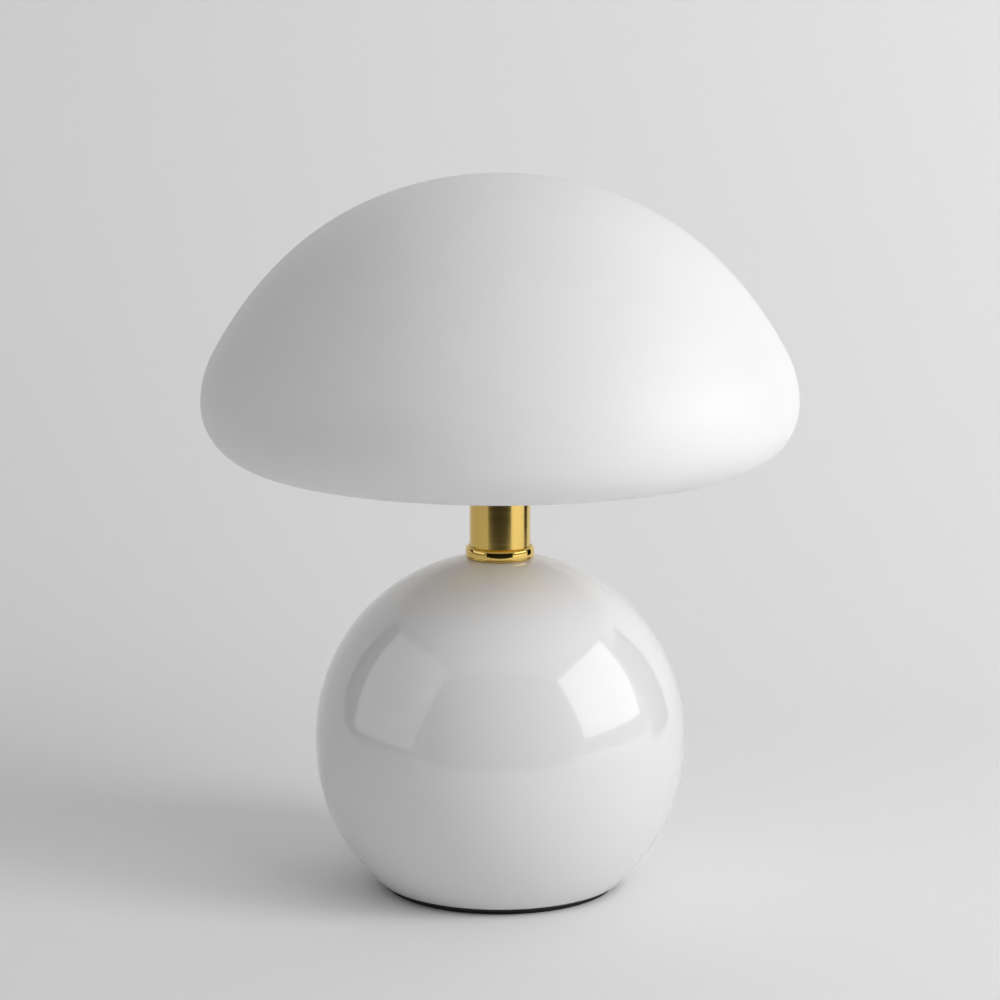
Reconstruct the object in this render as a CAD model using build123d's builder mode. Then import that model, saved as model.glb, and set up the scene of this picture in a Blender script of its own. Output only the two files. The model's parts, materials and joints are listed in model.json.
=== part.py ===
from build123d import *
from math import asin, cos, degrees, radians, sin, sqrt
import os

os.makedirs("parts", exist_ok=True)

# A mushroom table lamp, in millimetres. It stands on z = 0 with its axis on Z, and its
# mains lead comes out at the back, towards +Y.

# Clearances
slip = 0.3            # between pieces that part from each other
fit = 0.1             # between pieces that stay together
thread_fit = 0.05     # between a plain shank and the plain bore that it screws into

# Foot and base plate
pad_thickness = 1.5
pad_inset = 1.0       # the pad stands back from the plate's edge
plate_thickness = 1.5
plate_inset = 2.2     # the plate stands back from the ball's rim
dish_radius = 9.0     # raised middle of the plate, which hides the bolt's head
dish_rise = 3.0
dish_slope = 2.0
base_screw_count = 3
base_screw_radius = 1.5
base_screw_head = 2.8
base_screw_length = 6.0
base_screw_start = 90.0
base_screw_inset = 4.3    # from the flange's inner edge to the screws
pad_hole = 3.2        # lets a screwdriver through the pad

# Ball: two pressed halves, welded on a short straight band
ball_radius = 77.5
ball_band = 3.1
ball_wall = 1.5
rim_radius = 51.7     # where the ball is cut off for its foot
rim_bend = 1.0
flange_width = 12.0   # turned-in edge round the base opening
weld_nut_flats = 5.5
weld_nut_height = 2.4

# Ballast
ballast_gap = 1.2     # between the ballast and the opening that it goes in by
ballast_height = 20.0
ballast_draft = 3.0
ballast_edge = 1.5
bolt_radius = 3.0
bolt_head_flats = 10.0
bolt_head_height = 4.0
bolt_nut_height = 5.0

# Neck
rod_radius = 5.0      # threaded lamp tube
rod_bore = 3.5
rod_tail = 9.0        # thread left under the nut inside the ball
rod_hole = 5.2
rod_drop = 1.0        # from the holder boss's top down to the rod's end
collar_wall = 1.6
collar_land = 0.1     # flat left between the collar's round top edge and the tube
collar_height = 5.5
collar_floor = 0.7
collar_low_edge = 0.8
tube_radius = 12.7
tube_wall = 1.0
tube_length = 37.5
neck_washer_radius = 15.0
neck_washer_thickness = 1.5
lamp_nut_flats = 14.0
lamp_nut_height = 3.0
lock_washer_radius = 9.0
lock_washer_thickness = 0.8
lock_washer_teeth = 12

# Shade: mouth-blown opal glass. Each row is an arc's radius and how far it turns, from
# the crown out over the shoulder, round the rim and in under the cap to its lowest ring.
shade_cap_arcs = [
    (136.0, 20.1),
    (122.4, 24.6),
    (153.1, 17.7),
    (41.9, 26.5),
    (24.8, 79.5),
    (182.7, 11.6),
]
glass_wall = 3.0
fitter_radius = 32.0      # hole in the underside
under_arc_radius = 45.0   # the underside rises to the hole in two arcs
under_arc_turn = 17.1

# Shade carrier and gasket
carrier_thickness = 1.5
carrier_lip = 2.0         # how far the carrier stands out past the gasket
spigot_height = 7.0
spigot_wall = 1.5
vent_count = 16
vent_radius = 1.0
gasket_thickness = 1.5
gasket_width = 8.0
sleeve_wall = 1.0
sleeve_height = 5.0

# Lamp holder for a small screw cap
holder_radius = 14.0
holder_wall = 1.8
holder_floor = 3.0
holder_foot_radius = 10.0
holder_cap_height = 17.0
holder_boss_wall = 2.5
holder_boss_height = 9.0
holder_thread = 5.5       # how far the barrel screws into the holder's cap
barrel_height = 16.0
barrel_wall = 1.6
barrel_flange = 2.0
core_thickness = 3.0
core_drop = 1.0           # from the holder cap's top down to the core
contact_thickness = 0.5
contact_rise = 1.5
contact_width = 3.5
contact_reach = 3.6
shell_wall = 0.4
shell_height = 16.0
terminal_width = 4.0
terminal_depth = 5.0
terminal_height = 4.0
terminal_screw_radius = 1.3
terminal_screw_height = 2.4

# Bulb: golf ball shape on a 14 mm screw cap
bulb_length = 74.0
bulb_radius = 22.5
bulb_wall = 1.0
bulb_joint_drop = 11.5    # from the globe's centre down to its joint with the housing
bulb_cap_radius = 6.95
bulb_cap_wall = 0.4
bulb_cap_height = 15.5
bulb_tip_radius = 2.2
bulb_tip_height = 0.8
bulb_insulator_height = 3.7
bulb_neck_height = 6.0
bulb_neck_radius = 11.5

# Cord gland, low on the back of the ball and square to its surface
gland_slope = 30.0        # how far below level the gland points
gland_bore = 3.1
gland_shank = 5.0
gland_length = 12.0       # shank inside the ball's outer face
gland_flats = 14.0
gland_flange = 2.5
gland_nose_radius = 6.2
gland_nose_height = 4.0
gland_edge = 1.2
gland_nut_height = 3.0

# Terminal block and wiring
pole_count = 3
pole_pitch = 10.0
block_depth = 17.0
block_height = 13.0
block_margin = 12.5       # from the block's middle out to the ballast's edge
hump_wall = 1.4
tunnel_height = 6.0
sleeve_radius = 2.5
sleeve_bore = 1.5
clamp_screw_radius = 1.4
clamp_screw_height = 3.0
clamp_screw_spread = 9.0
block_screw_radius = 1.5
block_screw_head = 2.4
block_screw_grip = 8.0    # thread in the ballast
lead_radius = 0.9
lead_spread = 1.3         # each lead's distance from the axis inside the rod
lead_grip = 4.0           # how far a lead goes into its tunnel
lead_rod_bend = 14.0      # where a lead turns into the rod
lead_rise = 40.0          # above the block, where a lead turns up to the rod
tag_thickness = 0.8
tag_radius = 4.0
tag_barrel_wall = 0.5
tag_barrel_length = 5.0
tag_reach = 14.0          # in front of the bolt's nut
earth_screw_radius = 2.0
earth_screw_head = 3.5
earth_screw_head_height = 2.4
earth_screw_grip = 8.0

# Heights that follow
plate_base = pad_thickness
foot_height = plate_base + plate_thickness
lower_centre = foot_height + sqrt(ball_radius**2 - rim_radius**2)
upper_centre = lower_centre + ball_band
ball_top = upper_centre + ball_radius
flange_top = foot_height + ball_wall
plate_radius = rim_radius - plate_inset
pad_radius = plate_radius - pad_inset
opening_radius = rim_radius - flange_width
base_screw_ring = opening_radius + base_screw_inset
ballast_radius = opening_radius - ballast_gap
ballast_top = foot_height + ballast_height
block_offset = ballast_radius - block_margin
collar_bore = tube_radius + fit
collar_radius = collar_bore + collar_wall
collar_base = upper_centre + sqrt(ball_radius**2 - collar_radius**2)
tube_base = ball_top + collar_floor
carrier_base = tube_base + tube_length
carrier_top = carrier_base + carrier_thickness
glass_base = carrier_top + gasket_thickness
holder_base = carrier_top + lock_washer_thickness + lamp_nut_height
rod_top = holder_base + holder_boss_height - rod_drop
cap_top = holder_base + holder_cap_height
core_top = cap_top - core_drop
bulb_base = core_top + contact_thickness + contact_rise
shell_bore = bulb_cap_radius + slip


def sagitta(radius, reach):
    """Depth of a ball of this radius under its tangent plane, at this distance out."""
    return radius - sqrt(radius**2 - reach**2)


def hex_corner(flats):
    return flats / (2 * cos(radians(30)))


def shade_arcs():
    """All arcs of the shade's outside, from the crown to the flat land at its hole."""
    rise = (under_arc_radius, under_arc_turn)
    return shade_cap_arcs + [rise, (under_arc_radius, -under_arc_turn)]


def shade_drop():
    """Height from the land at the hole up to the crown."""
    heading = 0.0
    drop = 0.0
    for radius, turn in shade_arcs():
        side = 1 if turn > 0 else -1
        after = heading + radians(turn)
        drop += side * radius * (cos(heading) - cos(after))
        heading = after
    return drop


shade_top = glass_base + shade_drop()


def shade_surface(inset):
    """Draw the glass surface at this depth under its outside, and return its end."""
    point = (0, shade_top - inset)
    heading = (1, 0)
    for radius, turn in shade_arcs():
        side = 1 if turn > 0 else -1
        arc = JernArc(point, heading, radius - side * inset, -turn)
        point = arc @ 1
        heading = arc % 1
    edge = (fitter_radius, glass_base + inset)
    Line(point, edge)
    return edge


def ball_outline(inset, floor_height):
    """Draw the half outline of the ball at this depth under its outside."""
    radius = ball_radius - inset
    turn = degrees(asin((lower_centre - floor_height) / radius))
    CenterArc((0, upper_centre), radius, 0, 90)
    Line((radius, upper_centre), (radius, lower_centre))
    low_arc = CenterArc((0, lower_centre), radius, 0, -turn)
    Polyline(low_arc @ 1, (0, floor_height), (0, upper_centre + radius))


def finish(piece, name):
    """Name a finished piece and write it."""
    piece.part.label = name
    export_step(piece.part, "parts/" + name + ".step")


# ---- Foot and base ----

with BuildPart() as foot_pad:
    with BuildSketch():
        Circle(pad_radius)
        Circle(dish_radius + dish_slope, mode=Mode.SUBTRACT)
        with PolarLocations(base_screw_ring, base_screw_count, start_angle=base_screw_start):
            Circle(pad_hole, mode=Mode.SUBTRACT)
    extrude(amount=pad_thickness)
finish(foot_pad, "foot_pad")

screw_face = Plane((0, 0, plate_base), x_dir=(1, 0, 0), z_dir=(0, 0, -1))
with BuildPart() as base_plate:
    with BuildSketch(Plane.XZ):
        with BuildLine():
            Polyline(
                (bolt_radius + fit, plate_base + dish_rise),
                (dish_radius, plate_base + dish_rise),
                (dish_radius + dish_slope, plate_base),
                (plate_radius, plate_base),
                (plate_radius, foot_height),
                (dish_radius + dish_slope + plate_thickness / 2, foot_height),
                (dish_radius + plate_thickness / 2, foot_height + dish_rise),
                (bolt_radius + fit, foot_height + dish_rise),
                close=True,
            )
        make_face()
    revolve(axis=Axis.Z)
    with Locations(screw_face):
        with PolarLocations(base_screw_ring, base_screw_count, start_angle=-base_screw_start):
            CounterSinkHole(
                base_screw_radius + fit,
                base_screw_head + fit,
                depth=plate_thickness,
                counter_sink_angle=90,
            )
finish(base_plate, "base_plate")

with BuildPart() as base_screws:
    with BuildSketch(Plane.XY.offset(plate_base)):
        with PolarLocations(base_screw_ring, base_screw_count, start_angle=base_screw_start):
            Circle(base_screw_head)
    extrude(amount=base_screw_head - base_screw_radius, taper=45)
    with BuildSketch(Plane.XY.offset(plate_base)):
        with PolarLocations(base_screw_ring, base_screw_count, start_angle=base_screw_start):
            Circle(base_screw_radius)
    extrude(amount=base_screw_length)
finish(base_screws, "base_screws")

with BuildPart() as weld_nuts:
    with BuildSketch(Plane.XY.offset(flange_top)):
        with PolarLocations(base_screw_ring, base_screw_count, start_angle=base_screw_start):
            RegularPolygon(weld_nut_flats / 2, 6, major_radius=False)
            Circle(base_screw_radius + thread_fit, mode=Mode.SUBTRACT)
    extrude(amount=weld_nut_height)
finish(weld_nuts, "weld_nuts")

ballast_recess = dish_radius + dish_slope + plate_thickness
with BuildPart() as ballast:
    with BuildSketch(Plane.XY.offset(foot_height)):
        Circle(ballast_radius)
    extrude(amount=ballast_height, taper=ballast_draft)
    fillet(ballast.edges().group_by(Axis.Z)[-1], ballast_edge)
    with BuildSketch(Plane.XY.offset(foot_height)):
        Circle(ballast_recess)
    extrude(amount=dish_rise, mode=Mode.SUBTRACT)
    with Locations((0, 0, ballast_top)):
        Hole(bolt_radius + fit, depth=ballast_height)
    with Locations(
        (-pole_pitch / 2, block_offset, ballast_top),
        (pole_pitch / 2, block_offset, ballast_top),
    ):
        Hole(block_screw_radius + thread_fit, depth=block_screw_grip)
    with Locations((-pole_pitch, -tag_reach, ballast_top)):
        Hole(earth_screw_radius + thread_fit, depth=earth_screw_grip)
finish(ballast, "ballast")

bolt_seat = plate_base + dish_rise
with BuildPart() as ballast_bolt:
    with BuildSketch(Plane.XY.offset(bolt_seat - bolt_head_height)):
        RegularPolygon(bolt_head_flats / 2, 6, major_radius=False)
    extrude(amount=bolt_head_height)
    with BuildSketch(Plane.XY.offset(bolt_seat)):
        Circle(bolt_radius)
    extrude(amount=ballast_top - bolt_seat + bolt_nut_height + bolt_radius / 2)
finish(ballast_bolt, "ballast_bolt")

with BuildPart() as ballast_nut:
    with BuildSketch(Plane.XY.offset(ballast_top)):
        RegularPolygon(bolt_head_flats / 2, 6, major_radius=False)
        Circle(bolt_radius + thread_fit, mode=Mode.SUBTRACT)
    extrude(amount=bolt_nut_height)
finish(ballast_nut, "ballast_nut")

# ---- Ball ----

gland_tilt = radians(gland_slope)
gland_plane = Plane(
    (0, ball_radius * cos(gland_tilt), lower_centre - ball_radius * sin(gland_tilt)),
    x_dir=(1, 0, 0),
    z_dir=(0, cos(gland_tilt), -sin(gland_tilt)),
)

with BuildPart() as ball_shell:
    with BuildSketch(Plane.XZ):
        with BuildLine():
            ball_outline(0, foot_height)
        make_face()
        with BuildLine():
            ball_outline(ball_wall, flange_top)
        make_face(mode=Mode.SUBTRACT)
        with Locations((0, foot_height)):
            Rectangle(opening_radius, 2 * ball_wall, align=(Align.MIN, Align.CENTER), mode=Mode.SUBTRACT)
        with Locations((0, ball_top)):
            Rectangle(rod_hole, 4 * ball_wall, align=(Align.MIN, Align.CENTER), mode=Mode.SUBTRACT)
    revolve(axis=Axis.Z)
    rim_edges = ball_shell.edges().group_by(Axis.Z)[0]
    fillet(rim_edges.sort_by(SortBy.RADIUS)[-1], rim_bend)
    with BuildSketch(gland_plane):
        Circle(gland_shank + fit)
    extrude(amount=-3 * ball_wall, mode=Mode.SUBTRACT)
    with BuildSketch(Plane.XY.offset(foot_height)):
        with PolarLocations(base_screw_ring, base_screw_count, start_angle=base_screw_start):
            Circle(base_screw_radius + thread_fit)
    extrude(amount=ball_wall, mode=Mode.SUBTRACT)
finish(ball_shell, "ball_shell")

# ---- Cord gland ----

with BuildPart() as cord_gland:
    with BuildSketch(gland_plane):
        RegularPolygon(gland_flats / 2, 6, major_radius=False)
    extrude(amount=gland_flange)
    with BuildSketch(gland_plane.offset(gland_flange)):
        Circle(gland_nose_radius)
    extrude(amount=gland_nose_height)
    nose_edges = cord_gland.edges().filter_by(GeomType.CIRCLE)
    fillet(nose_edges.sort_by_distance(gland_plane.offset(3 * gland_length).origin)[0], gland_edge)
    with BuildSketch(gland_plane):
        Circle(gland_shank)
    extrude(amount=-gland_length)
    with BuildSketch(gland_plane.offset(gland_flange + gland_nose_height)):
        Circle(gland_bore)
    extrude(amount=-(gland_flange + gland_nose_height + gland_length), mode=Mode.SUBTRACT)
finish(cord_gland, "cord_gland")

gland_nut_drop = ball_wall + sagitta(ball_radius - ball_wall, hex_corner(gland_flats)) + fit
with BuildPart() as gland_nut:
    with BuildSketch(gland_plane.offset(-gland_nut_drop)):
        RegularPolygon(gland_flats / 2, 6, major_radius=False)
        Circle(gland_shank + thread_fit, mode=Mode.SUBTRACT)
    extrude(amount=-gland_nut_height)
finish(gland_nut, "gland_nut")

# ---- Neck ----

neck_washer_top = upper_centre + sqrt((ball_radius - ball_wall) ** 2 - neck_washer_radius**2) - fit
with BuildPart() as neck_washer:
    with BuildSketch(Plane.XY.offset(neck_washer_top)):
        Circle(neck_washer_radius)
        Circle(rod_hole, mode=Mode.SUBTRACT)
    extrude(amount=-neck_washer_thickness)
finish(neck_washer, "neck_washer")

neck_nut_top = neck_washer_top - neck_washer_thickness
with BuildPart() as neck_nut:
    with BuildSketch(Plane.XY.offset(neck_nut_top)):
        RegularPolygon(lamp_nut_flats / 2, 6, major_radius=False)
        Circle(rod_radius + thread_fit, mode=Mode.SUBTRACT)
    extrude(amount=-lamp_nut_height)
finish(neck_nut, "neck_nut")

rod_base = neck_nut_top - lamp_nut_height - rod_tail
with BuildPart() as threaded_tube:
    with BuildSketch(Plane.XY.offset(rod_base)):
        Circle(rod_radius)
        Circle(rod_bore, mode=Mode.SUBTRACT)
    extrude(amount=rod_top - rod_base)
finish(threaded_tube, "threaded_tube")

with BuildPart() as neck_collar:
    with BuildSketch(Plane.XZ) as collar_section:
        with Locations((rod_hole, collar_base)):
            Rectangle(collar_radius - rod_hole, collar_height, align=Align.MIN)
        with Locations((0, tube_base)):
            Rectangle(collar_bore, collar_height, align=Align.MIN, mode=Mode.SUBTRACT)
        with Locations((0, upper_centre)):
            Circle(ball_radius + fit, mode=Mode.SUBTRACT)
        outer_corners = collar_section.vertices().group_by(Axis.X)[-1].sort_by(Axis.Y)
        fillet(outer_corners[0], collar_low_edge)
        top_corner = collar_section.vertices().group_by(Axis.X)[-1].sort_by(Axis.Y)[-1]
        fillet(top_corner, collar_wall - collar_land)
    revolve(axis=Axis.Z)
finish(neck_collar, "neck_collar")

with BuildPart() as neck_tube:
    with BuildSketch(Plane.XY.offset(tube_base)):
        Circle(tube_radius)
        Circle(tube_radius - tube_wall, mode=Mode.SUBTRACT)
    extrude(amount=tube_length)
finish(neck_tube, "neck_tube")

# ---- Shade and what carries it ----

sleeve_outside = fitter_radius - slip
spigot_radius = sleeve_outside - sleeve_wall - fit
gasket_radius = sleeve_outside + gasket_width
carrier_radius = gasket_radius + carrier_lip
vent_ring = (spigot_radius - spigot_wall + lock_washer_radius) / 2

with BuildPart() as shade_carrier:
    with BuildSketch(Plane.XY.offset(carrier_base)):
        Circle(carrier_radius)
    extrude(amount=carrier_thickness)
    fillet(shade_carrier.edges().group_by(Axis.Z)[0], carrier_thickness / 2)
    with BuildSketch(Plane.XY.offset(carrier_top)):
        Circle(spigot_radius)
        Circle(spigot_radius - spigot_wall, mode=Mode.SUBTRACT)
    extrude(amount=spigot_height)
    with BuildSketch(Plane.XY.offset(carrier_base)):
        Circle(rod_hole)
        with PolarLocations(vent_ring, vent_count):
            Circle(vent_radius)
    extrude(amount=carrier_thickness, mode=Mode.SUBTRACT)
finish(shade_carrier, "shade_carrier")

with BuildPart() as shade_gasket:
    with BuildSketch(Plane.XY.offset(carrier_top)):
        Circle(gasket_radius)
    extrude(amount=gasket_thickness)
    with BuildSketch(Plane.XY.offset(carrier_top)):
        Circle(sleeve_outside)
    extrude(amount=gasket_thickness + sleeve_height)
    with BuildSketch(Plane.XY.offset(carrier_top)):
        Circle(sleeve_outside - sleeve_wall)
    extrude(amount=gasket_thickness + sleeve_height, mode=Mode.SUBTRACT)
finish(shade_gasket, "shade_gasket")

with BuildPart() as glass_shade:
    with BuildSketch(Plane.XZ):
        with BuildLine():
            outer_edge = shade_surface(0)
            inner_edge = shade_surface(glass_wall)
            Line(outer_edge, inner_edge)
            Line((0, shade_top), (0, shade_top - glass_wall))
        make_face()
    revolve(axis=Axis.Z)
finish(glass_shade, "glass_shade")

with BuildPart() as carrier_washer:
    with BuildSketch(Plane.XY.offset(carrier_top)):
        Circle(lock_washer_radius)
        Circle(rod_hole, mode=Mode.SUBTRACT)
        with PolarLocations(lock_washer_radius, lock_washer_teeth):
            Circle(lock_washer_thickness, mode=Mode.SUBTRACT)
    extrude(amount=lock_washer_thickness)
finish(carrier_washer, "carrier_washer")

with BuildPart() as carrier_nut:
    with BuildSketch(Plane.XY.offset(carrier_top + lock_washer_thickness)):
        RegularPolygon(lamp_nut_flats / 2, 6, major_radius=False)
        Circle(rod_radius + thread_fit, mode=Mode.SUBTRACT)
    extrude(amount=lamp_nut_height)
finish(carrier_nut, "carrier_nut")

# ---- Lamp holder ----

boss_bore = rod_radius + thread_fit
boss_radius = boss_bore + holder_boss_wall
cap_bore = holder_radius - holder_wall
with BuildPart() as holder_cap:
    with BuildSketch(Plane.XZ):
        with BuildLine():
            Polyline(
                (boss_bore, holder_base),
                (holder_foot_radius, holder_base),
                (holder_radius, holder_base + holder_radius - holder_foot_radius),
                (holder_radius, cap_top),
                (cap_bore, cap_top),
                (cap_bore, holder_base + holder_floor + holder_wall),
                (cap_bore - holder_wall, holder_base + holder_floor),
                (boss_radius, holder_base + holder_floor),
                (boss_radius, holder_base + holder_boss_height),
                (boss_bore, holder_base + holder_boss_height),
                close=True,
            )
        make_face()
    revolve(axis=Axis.Z)
finish(holder_cap, "holder_cap")

thread_outside = cap_bore - fit
barrel_bore = thread_outside - barrel_wall
with BuildPart() as holder_barrel:
    with BuildSketch(Plane.XY.offset(cap_top - holder_thread)):
        Circle(thread_outside)
    extrude(amount=holder_thread)
    with BuildSketch(Plane.XY.offset(cap_top)):
        Circle(holder_radius)
    extrude(amount=barrel_flange)
    with BuildSketch(Plane.XY.offset(cap_top + barrel_flange)):
        Circle(thread_outside)
    extrude(amount=barrel_height)
    with BuildSketch(Plane.XY.offset(cap_top - holder_thread)):
        Circle(barrel_bore)
    extrude(amount=holder_thread + barrel_flange + barrel_height, mode=Mode.SUBTRACT)
    chamfer(holder_barrel.edges().group_by(Axis.Z)[-1], barrel_wall / 4)
finish(holder_barrel, "holder_barrel")

with BuildPart() as holder_core:
    with BuildSketch(Plane.XY.offset(core_top)):
        Circle(barrel_bore - fit)
    extrude(amount=-core_thickness)
finish(holder_core, "holder_core")

with BuildPart() as holder_shell:
    with BuildSketch(Plane.XY.offset(core_top)):
        Circle(shell_bore + shell_wall)
        Circle(contact_reach + 2 * slip, mode=Mode.SUBTRACT)
    extrude(amount=shell_wall)
    with BuildSketch(Plane.XY.offset(core_top)):
        Circle(shell_bore + shell_wall)
        Circle(shell_bore, mode=Mode.SUBTRACT)
    extrude(amount=shell_height)
finish(holder_shell, "holder_shell")

contact_top = core_top + contact_thickness
with BuildPart() as holder_contact:
    with BuildSketch(Plane.XZ):
        with BuildLine():
            Polyline(
                (-contact_reach, core_top),
                (-bulb_tip_radius / 2, core_top),
                (0, core_top + contact_rise),
                (bulb_tip_radius, core_top + contact_rise),
                (bulb_tip_radius, contact_top + contact_rise),
                (-contact_thickness / 2, contact_top + contact_rise),
                (-bulb_tip_radius / 2 - contact_thickness / 2, contact_top),
                (-contact_reach, contact_top),
                close=True,
            )
        make_face()
    extrude(amount=contact_width / 2, both=True)
    fillet(holder_contact.edges().filter_by(Axis.Z), contact_thickness)
finish(holder_contact, "holder_contact")

terminal_base = core_top - core_thickness - terminal_height
terminal_end = sqrt((barrel_bore - fit) ** 2 - (terminal_depth / 2) ** 2)
terminal_centre = terminal_end - terminal_width / 2
with BuildPart() as holder_terminals:
    with BuildSketch(Plane.XY.offset(terminal_base)):
        with PolarLocations(terminal_centre, 2):
            Rectangle(terminal_width, terminal_depth)
    extrude(amount=terminal_height)
finish(holder_terminals, "holder_terminals")

terminal_screw_centre = boss_radius + terminal_screw_radius + fit
with BuildPart() as holder_screws:
    with BuildSketch(Plane.XY.offset(terminal_base)):
        with PolarLocations(terminal_screw_centre, 2):
            Circle(terminal_screw_radius)
    extrude(amount=-terminal_screw_height)
finish(holder_screws, "holder_screws")

# ---- Bulb ----

insulator_base = bulb_base + bulb_tip_height
bulb_cap_base = insulator_base + bulb_insulator_height
bulb_cap_top = bulb_cap_base + bulb_cap_height
globe_centre = bulb_base + bulb_length - bulb_radius
globe_joint = globe_centre - bulb_joint_drop
joint_radius = sqrt(bulb_radius**2 - bulb_joint_drop**2)

with BuildPart() as bulb_tip:
    with BuildSketch(Plane.XY.offset(bulb_base)):
        Circle(bulb_tip_radius)
    extrude(amount=bulb_tip_height)
finish(bulb_tip, "bulb_tip")

with BuildPart() as bulb_insulator:
    with BuildSketch(Plane.XY.offset(insulator_base)):
        Circle(bulb_tip_radius + bulb_cap_wall)
    with BuildSketch(Plane.XY.offset(bulb_cap_base)):
        Circle(bulb_cap_radius - bulb_cap_wall)
    loft()
finish(bulb_insulator, "bulb_insulator")

with BuildPart() as bulb_cap:
    with BuildSketch(Plane.XY.offset(bulb_cap_base)):
        Circle(bulb_cap_radius)
        Circle(bulb_cap_radius - bulb_cap_wall, mode=Mode.SUBTRACT)
    extrude(amount=bulb_cap_height)
finish(bulb_cap, "bulb_cap")

with BuildPart() as bulb_housing:
    with BuildSketch(Plane.XZ):
        with BuildLine():
            neck = Polyline(
                (0, bulb_cap_top),
                (bulb_cap_radius + bulb_cap_wall, bulb_cap_top),
                (bulb_neck_radius, bulb_cap_top + bulb_neck_height),
            )
            flare = Spline(
                neck @ 1,
                (joint_radius, globe_joint),
                tangents=((0, 1), (bulb_joint_drop, joint_radius)),
            )
            Polyline(flare @ 1, (0, globe_joint), (0, bulb_cap_top))
        make_face()
    revolve(axis=Axis.Z)
finish(bulb_housing, "bulb_housing")

globe_turn = degrees(asin(bulb_joint_drop / bulb_radius))
inner_globe = bulb_radius - bulb_wall
inner_turn = degrees(asin(bulb_joint_drop / inner_globe))
with BuildPart() as bulb_globe:
    with BuildSketch(Plane.XZ):
        with BuildLine():
            outside = CenterArc((0, globe_centre), bulb_radius, -globe_turn, 90 + globe_turn)
            inside = CenterArc((0, globe_centre), inner_globe, -inner_turn, 90 + inner_turn)
            Line(outside @ 0, inside @ 0)
            Line(outside @ 1, inside @ 1)
        make_face()
    revolve(axis=Axis.Z)
finish(bulb_globe, "bulb_globe")

# ---- Terminal block and wiring ----

block_width = pole_count * pole_pitch
tunnel_level = ballast_top + tunnel_height
block_front = block_offset - block_depth / 2
tunnel_plane = Plane((0, block_front, tunnel_level), x_dir=(1, 0, 0), z_dir=(0, -1, 0))
block_top = ballast_top + block_height

with BuildPart() as terminal_block:
    with BuildSketch(Plane((0, block_offset, ballast_top))):
        Rectangle(block_width, block_depth)
    extrude(amount=tunnel_height)
    with BuildSketch(Plane((0, block_offset, tunnel_level))):
        with GridLocations(pole_pitch, 0, pole_count, 1):
            Rectangle(2 * (sleeve_radius + hump_wall), block_depth)
    extrude(amount=block_height - tunnel_height)
    with BuildSketch(tunnel_plane):
        with GridLocations(pole_pitch, 0, pole_count, 1):
            Circle(sleeve_radius + fit)
    extrude(amount=-block_depth, mode=Mode.SUBTRACT)
    with BuildSketch(Plane((0, block_offset, tunnel_level))):
        with GridLocations(pole_pitch, clamp_screw_spread, pole_count, 2):
            Circle(clamp_screw_radius + fit)
    extrude(amount=block_height, mode=Mode.SUBTRACT)
    with BuildSketch(Plane((0, block_offset, ballast_top))):
        with GridLocations(pole_pitch, 0, 2, 1):
            Circle(block_screw_radius + fit)
    extrude(amount=tunnel_height, mode=Mode.SUBTRACT)
    with BuildSketch(Plane((0, block_offset, tunnel_level))):
        with GridLocations(pole_pitch, 0, 2, 1):
            Circle(block_screw_head + fit)
    extrude(amount=block_height, mode=Mode.SUBTRACT)
finish(terminal_block, "terminal_block")

with BuildPart() as terminal_sleeves:
    with BuildSketch(tunnel_plane):
        with GridLocations(pole_pitch, 0, pole_count, 1):
            Circle(sleeve_radius)
            Circle(sleeve_bore, mode=Mode.SUBTRACT)
    extrude(amount=-block_depth)
finish(terminal_sleeves, "terminal_sleeves")

with BuildPart() as clamp_screws:
    with BuildSketch(Plane((0, block_offset, tunnel_level + sleeve_radius))):
        with GridLocations(pole_pitch, clamp_screw_spread, pole_count, 2):
            Circle(clamp_screw_radius)
    extrude(amount=clamp_screw_height)
finish(clamp_screws, "clamp_screws")

with BuildPart() as block_screws:
    with BuildSketch(Plane((0, block_offset, tunnel_level))):
        with GridLocations(pole_pitch, 0, 2, 1):
            Circle(block_screw_head)
    extrude(amount=block_screw_radius)
    with BuildSketch(Plane((0, block_offset, tunnel_level))):
        with GridLocations(pole_pitch, 0, 2, 1):
            Circle(block_screw_radius)
    extrude(amount=-(tunnel_height + block_screw_grip))
finish(block_screws, "block_screws")

lead_start = block_front + lead_grip
lead_bend = lead_start * 2 / 3    # where a lead turns up from the block
lead_turn_height = tunnel_level + lead_rise
lead_end_level = terminal_base + terminal_height / 2
terminal_face = terminal_centre - terminal_width / 2


def power_lead(side, pole):
    """One lead from its pole up through the rod to a terminal in the lamp holder."""
    path = FilletPolyline(
        (pole, lead_start, tunnel_level),
        (pole, 0, tunnel_level),
        (side * lead_spread, 0, lead_turn_height),
        (side * lead_spread, 0, lead_end_level),
        (side * terminal_face, 0, lead_end_level),
        radius=(lead_bend, lead_rod_bend, 2.5 * lead_radius),
    )
    return path


with BuildPart() as live_lead:
    with BuildLine() as live_route:
        power_lead(1, pole_pitch)
    with BuildSketch(Plane(live_route.line @ 0, z_dir=live_route.line % 0)):
        Circle(lead_radius)
    sweep(path=live_route.line)
finish(live_lead, "live_lead")

with BuildPart() as neutral_lead:
    with BuildLine() as neutral_route:
        power_lead(-1, 0)
    with BuildSketch(Plane(neutral_route.line @ 0, z_dir=neutral_route.line % 0)):
        Circle(lead_radius)
    sweep(path=neutral_route.line)
finish(neutral_lead, "neutral_lead")

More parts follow.
